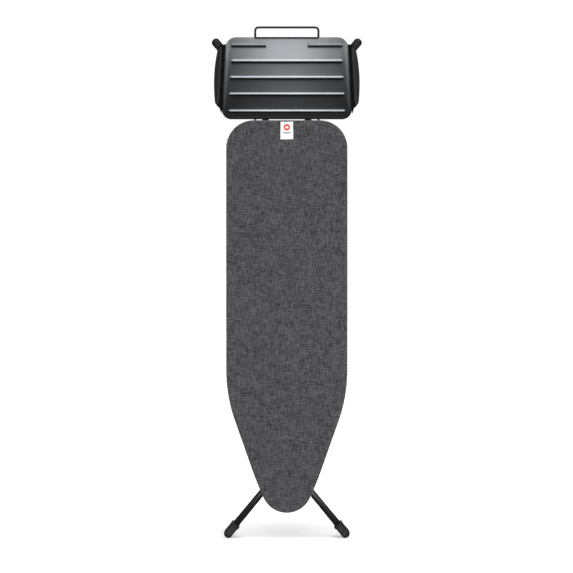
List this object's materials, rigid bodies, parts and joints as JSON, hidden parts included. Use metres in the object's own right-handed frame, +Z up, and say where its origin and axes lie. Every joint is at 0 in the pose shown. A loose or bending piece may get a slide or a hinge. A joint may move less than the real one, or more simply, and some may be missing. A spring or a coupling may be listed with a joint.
{
  "type": "ironing board",
  "caption": "Folding ironing board with a padded fabric top, crossed splayed legs, a steam-iron tray with a wire loop, and hinged side guards, folded and standing on its feet.",
  "frame": {"origin": "centre of the bounding box's underside, on the floor between the two feet it stands on when folded", "axes": "+Z up along the folded board from nose to heel, +X to the right seen from the ironing face, +Y from the ironing face towards the legs"},
  "size_m": [0.48, 0.063, 1.624],
  "materials": {
    "cover_cloth": "slubbed linen-look cotton, washed black",
    "label_cloth": "woven white tape",
    "foam": "open-cell foam",
    "felt": "needled felt",
    "mesh_enamel": "grey epoxy on expanded steel",
    "rim_enamel": "grey epoxy, satin",
    "tray_enamel": "dark grey metallic enamel, semi-gloss",
    "leg_enamel": "black powder coat, satin",
    "wire_enamel": "black powder coat, semi-gloss",
    "zinc_steel": "zinc plated",
    "spring_steel": "bright spring wire",
    "nylon": "moulded nylon",
    "bracket_plastic": "black moulded plastic",
    "guard_plastic": "heat-resistant moulded plastic",
    "foot_plastic": "soft-touch moulded plastic",
    "grip_plastic": "soft-touch moulded plastic"
  },
  "bodies": {
    "board": {"cover": "cover_cloth", "care_label": "label_cloth", "foam_pad": "foam", "felt_underlay": "felt", "board_rim": "rim_enamel", "mesh_top": "mesh_enamel", "cross_member_lower": "rim_enamel", "cross_member_upper": "rim_enamel", "cross_member_pivot": "rim_enamel", "slide_rail_left": "zinc_steel", "slide_rail_right": "zinc_steel", "rail_end_stops": "nylon", "height_rack": "zinc_steel", "pivot_bracket": "zinc_steel", "pivot_bushes": "nylon", "bracket_rivets": "zinc_steel", "tray_plate": "tray_enamel", "tray_bars": "leg_enamel", "tray_rods": "wire_enamel", "end_stop_wire": "wire_enamel", "rod_clamps": "nylon", "clamp_screws": "zinc_steel", "guard_bracket_left": "bracket_plastic", "guard_bracket_right": "bracket_plastic", "guard_pins": "zinc_steel"},
    "guard_left": {"side_guard_left": "guard_plastic"},
    "guard_right": {"side_guard_right": "guard_plastic"},
    "inner_leg": {"inner_leg_tube_left": "leg_enamel", "inner_leg_tube_right": "leg_enamel", "inner_leg_ears": "leg_enamel", "inner_leg_axle": "zinc_steel", "axle_spacers": "nylon", "inner_leg_brace_upper": "leg_enamel", "inner_leg_brace_lower": "leg_enamel", "cross_bolts": "zinc_steel", "cross_nuts": "zinc_steel", "cross_washers": "nylon", "inner_foot_left": "foot_plastic", "inner_foot_right": "foot_plastic"},
    "outer_leg": {"outer_leg_tube_left": "leg_enamel", "outer_leg_tube_right": "leg_enamel", "outer_foot_left": "foot_plastic", "outer_foot_right": "foot_plastic", "outer_leg_brace": "leg_enamel", "outer_leg_ears": "leg_enamel", "slide_axle": "zinc_steel"},
    "carriage": {"slide_shoe_left": "nylon", "slide_shoe_right": "nylon", "carriage_bar": "zinc_steel", "lock_housing": "nylon", "housing_screws": "zinc_steel", "lever_pin": "zinc_steel", "lever_spring": "spring_steel"},
    "lock_bolt": {"lock_bolt": "zinc_steel", "bolt_pin": "zinc_steel"},
    "release_lever": {"release_lever": "zinc_steel", "lever_grip": "grip_plastic"}
  },
  "joints": [
    {"name": "inner_leg_fold", "type": "hinge", "parent": "board", "child": "inner_leg", "pos_m": [0, -0.0005, 1.125], "axis": [1, 0, 0], "range_deg": [0, 53.6]},
    {"name": "outer_leg_swing", "type": "hinge", "parent": "inner_leg", "child": "outer_leg", "pos_m": [0, 0.0165, 0.805], "axis": [1, 0, 0], "range_deg": [-107.2, 0]},
    {"name": "carriage_tilt", "type": "hinge", "parent": "outer_leg", "child": "carriage", "pos_m": [0, -0.0005, 0.485], "axis": [1, 0, 0], "range_deg": [0, 53.6]},
    {"name": "lock_lever", "type": "hinge", "parent": "carriage", "child": "release_lever", "pos_m": [0, 0.0145, 0.435], "axis": [1, 0, 0], "range_deg": [0, 16]},
    {"name": "lock_bolt_slide", "type": "slide", "parent": "carriage", "child": "lock_bolt", "axis": [0, -1, 0], "range_m": [0, 0.0062]},
    {"name": "guard_left_hinge", "type": "hinge", "parent": "board", "child": "guard_left", "pos_m": [-0.21364, -0.0175, 1.46478], "axis": [0.0577, 0, 0.9983], "range_deg": [0, 135]},
    {"name": "guard_right_hinge", "type": "hinge", "parent": "board", "child": "guard_right", "pos_m": [0.21364, -0.0175, 1.46478], "axis": [0.0577, 0, -0.9983], "range_deg": [0, 135]}
  ],
  "couplings": [
    {"joint": "outer_leg_swing", "follows": "inner_leg_fold", "ratio": -2},
    {"joint": "carriage_tilt", "follows": "inner_leg_fold", "ratio": 1},
    {"joint": "lock_bolt_slide", "follows": "lock_lever", "m_per_rad": 0.022202}
  ]
}
